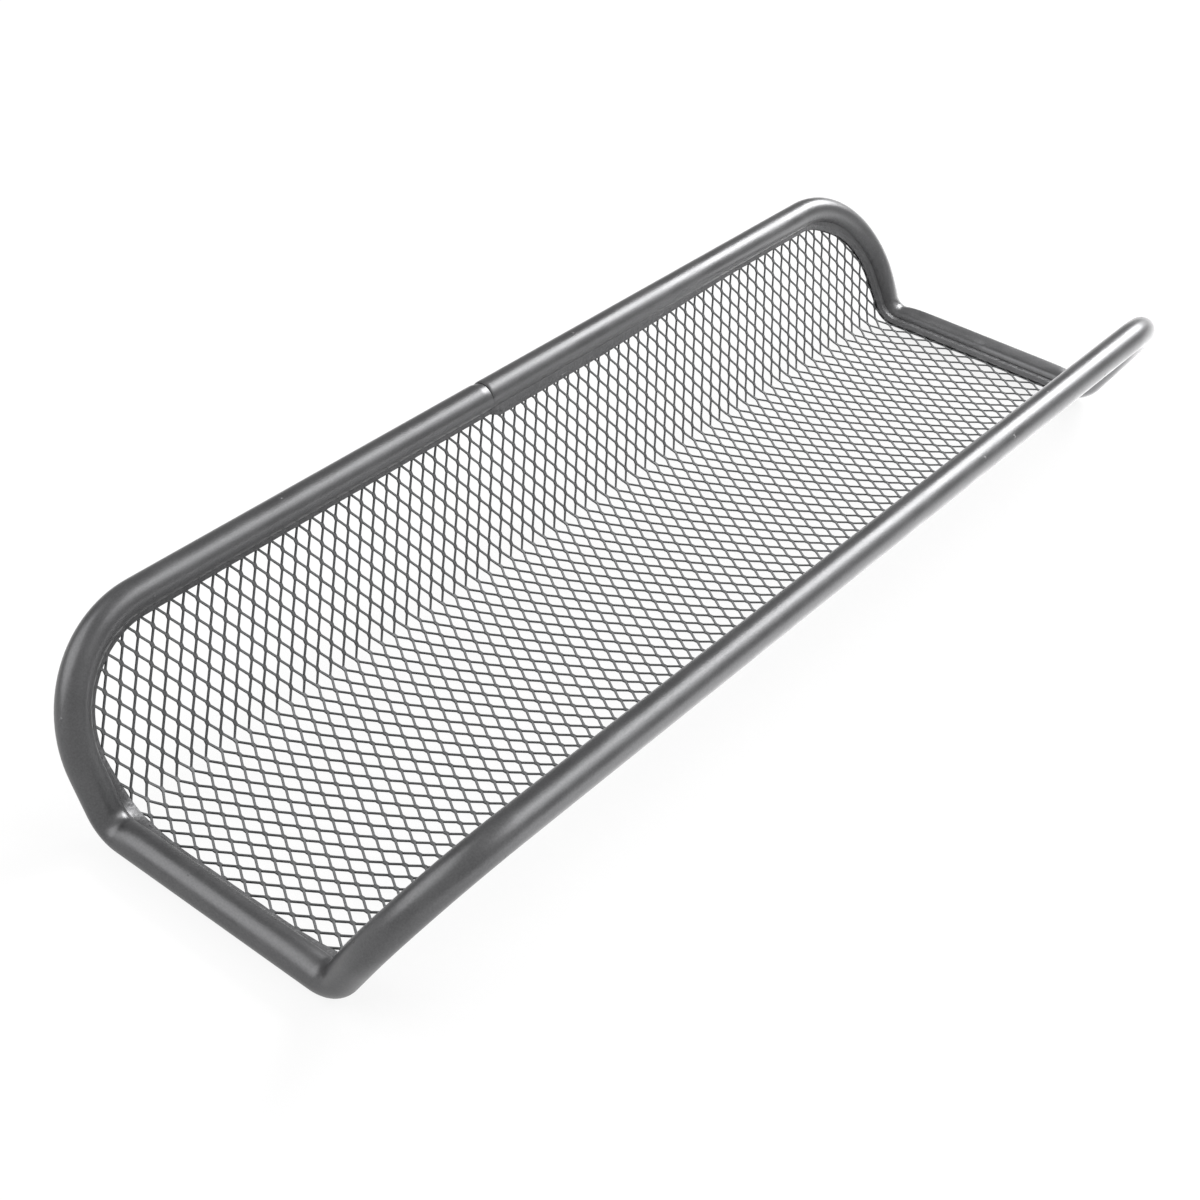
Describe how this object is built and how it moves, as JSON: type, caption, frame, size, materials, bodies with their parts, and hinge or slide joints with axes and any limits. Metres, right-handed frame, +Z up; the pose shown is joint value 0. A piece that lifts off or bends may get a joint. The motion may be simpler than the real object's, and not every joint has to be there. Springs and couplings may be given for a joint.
{
  "type": "pen tray",
  "caption": "Open-ended desk tray for pens, folded from expanded metal mesh into a flat floor with two leaning side walls, with a rolled edge all round.",
  "frame": {"origin": "on the table, under the middle of the tray, where the floor's rolled edges rest", "axes": "+X along the tray, towards the end that is far away in the picture; +Y across it, towards the wall with the butt joint; +Z up"},
  "size_m": [0.25, 0.0906, 0.0343],
  "materials": {
    "mesh": "satin silver-grey metallic paint",
    "rim": "satin silver-grey metallic paint"
  },
  "bodies": {
    "root": {"floor_mesh": "mesh", "left_fold_mesh": "mesh", "right_fold_mesh": "mesh", "left_wall_mesh": "mesh", "right_wall_mesh": "mesh", "near_end_rim": "rim", "far_end_rim": "rim", "near_left_fold_rim": "rim", "near_right_fold_rim": "rim", "far_left_fold_rim": "rim", "far_right_fold_rim": "rim", "near_left_corner_rim": "rim", "near_right_corner_rim": "rim", "far_left_corner_rim": "rim", "far_right_corner_rim": "rim", "left_rim_near_run": "rim", "left_rim_far_run": "rim", "right_rim_run": "rim"}
  },
  "joints": []
}
